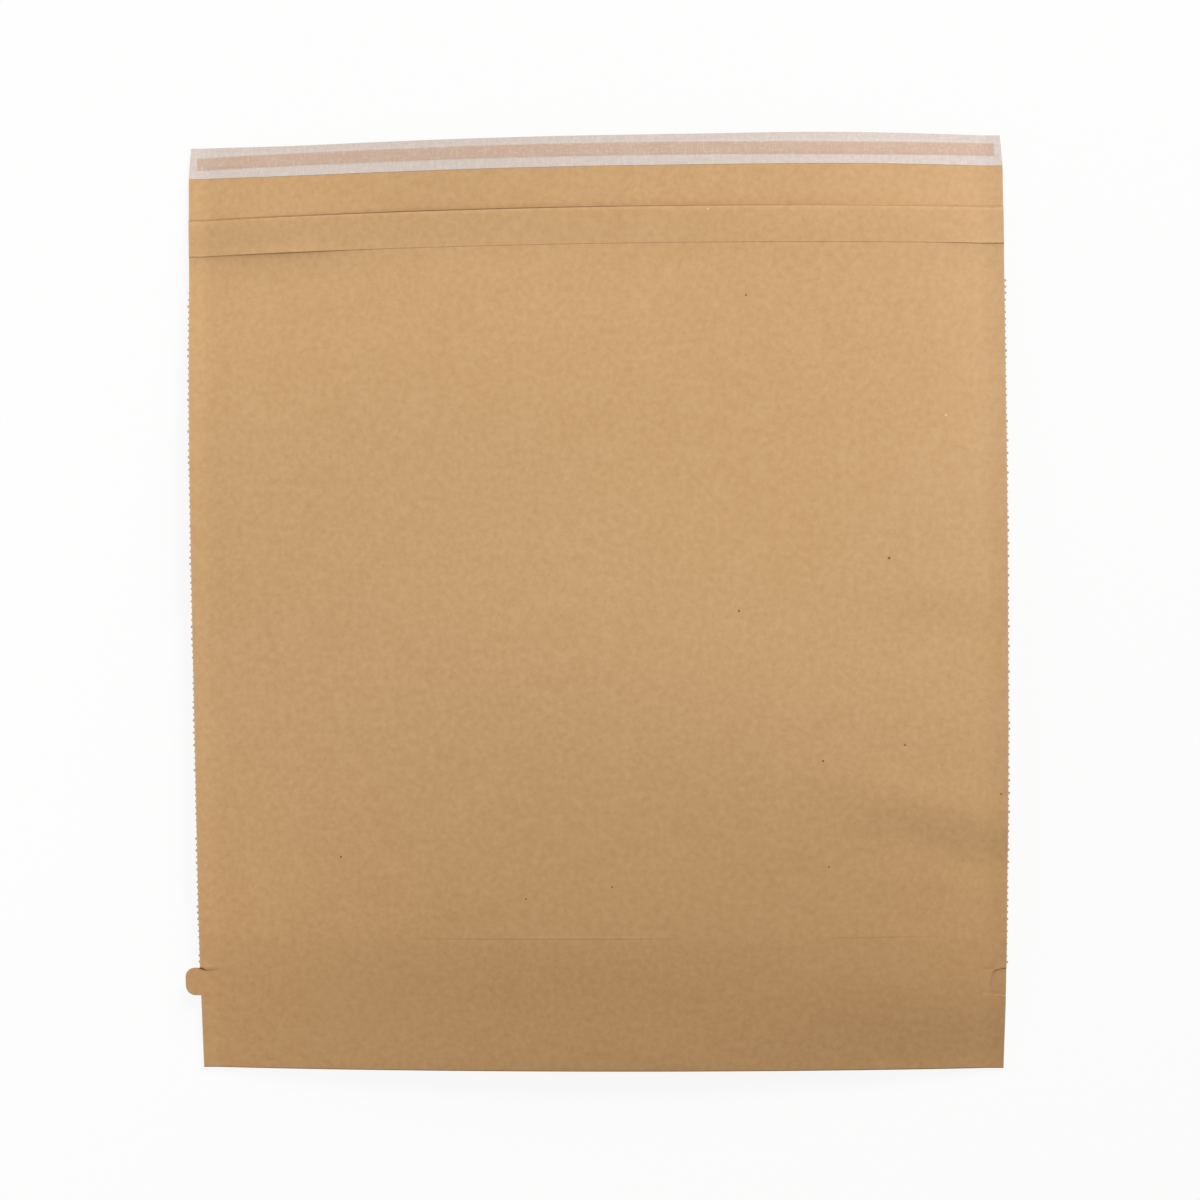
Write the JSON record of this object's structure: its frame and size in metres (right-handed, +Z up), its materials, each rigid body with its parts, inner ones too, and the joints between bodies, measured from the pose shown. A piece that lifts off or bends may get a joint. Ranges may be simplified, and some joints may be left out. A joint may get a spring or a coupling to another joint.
{
  "type": "paper mailing bag",
  "caption": "Flat kraft paper mailing bag with a folded hem, a self-sealing flap under a release liner, a tucked bottom gusset and a tear-open tab at one side.",
  "frame": {"origin": "on the table surface, on the bag's centre line, half way between the bottom folds and the mouth fold", "axes": "+Y from the bottom folds towards the flap, +Z up out of the front sheet, +X to the right with the tear tab on the left"},
  "size_m": [0.4591, 0.5156, 0.0228],
  "materials": {
    "kraft_paper": "matte, brown kraft with fine fibres",
    "hot_melt": "tacky pressure-sensitive film",
    "silicone_paper": "smooth, slightly see-through, greyish white",
    "tear_film": "clear film, glued down"
  },
  "bodies": {
    "root": {"paper_bag": "kraft_paper", "adhesive_strip": "hot_melt", "release_liner": "silicone_paper", "tear_tape": "tear_film"}
  },
  "joints": []
}
